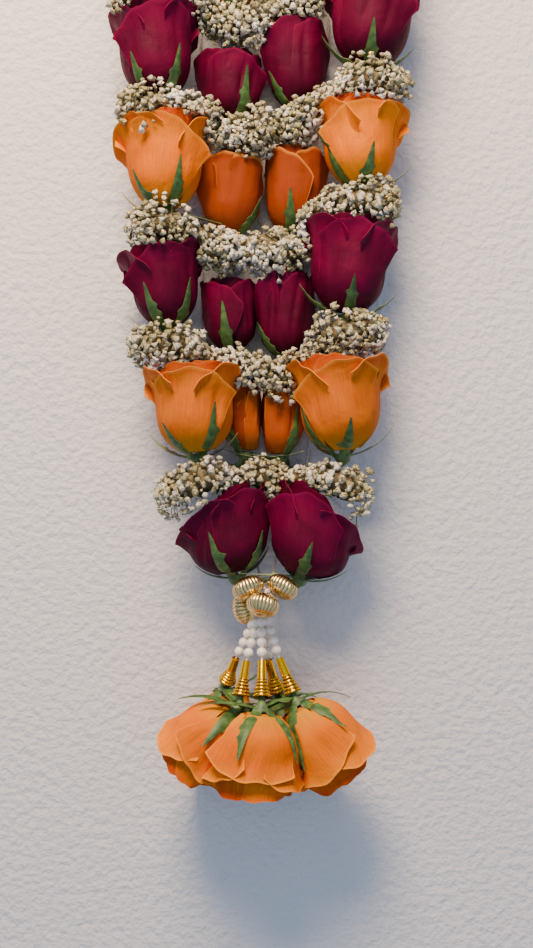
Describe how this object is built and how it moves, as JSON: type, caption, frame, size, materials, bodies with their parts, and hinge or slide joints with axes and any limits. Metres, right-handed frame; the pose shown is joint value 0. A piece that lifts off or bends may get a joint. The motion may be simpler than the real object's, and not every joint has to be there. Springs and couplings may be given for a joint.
{
  "type": "rose garland",
  "caption": "Hanging garland of rose rows and baby's breath on two strands that meet at gold beads over pearl strings and a tassel of roses, laid on its back.",
  "frame": {"origin": "middle of the bounding box on the surface that the garland lies on", "axes": "+X across the garland to the viewer's right, +Y up the strands away from the tassel, +Z out of its front"},
  "size_m": [0.1818, 0.5152, 0.09],
  "materials": {
    "red_petal": "velvety",
    "orange_petal": "satin",
    "calyx_green": "matte",
    "babys_breath": "dry matte",
    "pale_gold": "polished plating",
    "yellow_gold": "mirror plating",
    "pearl": "pearl lustre",
    "white_string": "twisted"
  },
  "bodies": {
    "root": {"row_1_left_rose": "red_petal", "row_1_right_rose": "red_petal", "row_2_outer_left_rose": "orange_petal", "row_2_inner_left_rose": "orange_petal", "row_2_inner_right_rose": "orange_petal", "row_2_outer_right_rose": "orange_petal", "row_3_outer_left_rose": "red_petal", "row_3_inner_left_rose": "red_petal", "row_3_inner_right_rose": "red_petal", "row_3_outer_right_rose": "red_petal", "row_4_outer_left_rose": "orange_petal", "row_4_inner_left_rose": "orange_petal", "row_4_inner_right_rose": "orange_petal", "row_4_outer_right_rose": "orange_petal", "row_5_outer_left_rose": "red_petal", "row_5_inner_left_rose": "red_petal", "row_5_inner_right_rose": "red_petal", "row_5_outer_right_rose": "red_petal", "row_6_outer_left_rose": "orange_petal", "row_6_inner_left_rose": "orange_petal", "row_6_inner_right_rose": "orange_petal", "row_6_outer_right_rose": "orange_petal", "tassel_front_rose": "orange_petal", "tassel_right_rose": "orange_petal", "tassel_left_rose": "orange_petal", "tassel_back_left_rose": "orange_petal", "tassel_back_right_rose": "orange_petal", "row_1_calyxes": "calyx_green", "row_2_left_calyxes": "calyx_green", "row_2_right_calyxes": "calyx_green", "row_3_left_calyxes": "calyx_green", "row_3_right_calyxes": "calyx_green", "row_4_left_calyxes": "calyx_green", "row_4_right_calyxes": "calyx_green", "row_5_left_calyxes": "calyx_green", "row_5_right_calyxes": "calyx_green", "row_6_left_calyxes": "calyx_green", "row_6_right_calyxes": "calyx_green", "tassel_calyxes": "calyx_green", "babys_breath_1_2": "babys_breath", "babys_breath_2_3": "babys_breath", "babys_breath_3_4": "babys_breath", "babys_breath_4_5": "babys_breath", "babys_breath_5_6": "babys_breath", "gold_bead_upper_left": "pale_gold", "gold_bead_upper_right": "pale_gold", "gold_bead_lower_front": "pale_gold", "gold_bead_lower_left": "pale_gold", "gold_cone_back_left": "yellow_gold", "gold_cone_left": "yellow_gold", "gold_cone_front": "yellow_gold", "gold_cone_right": "yellow_gold", "gold_cone_back_right": "yellow_gold", "pearl_strings": "pearl", "garland_string": "white_string"}
  },
  "joints": []
}
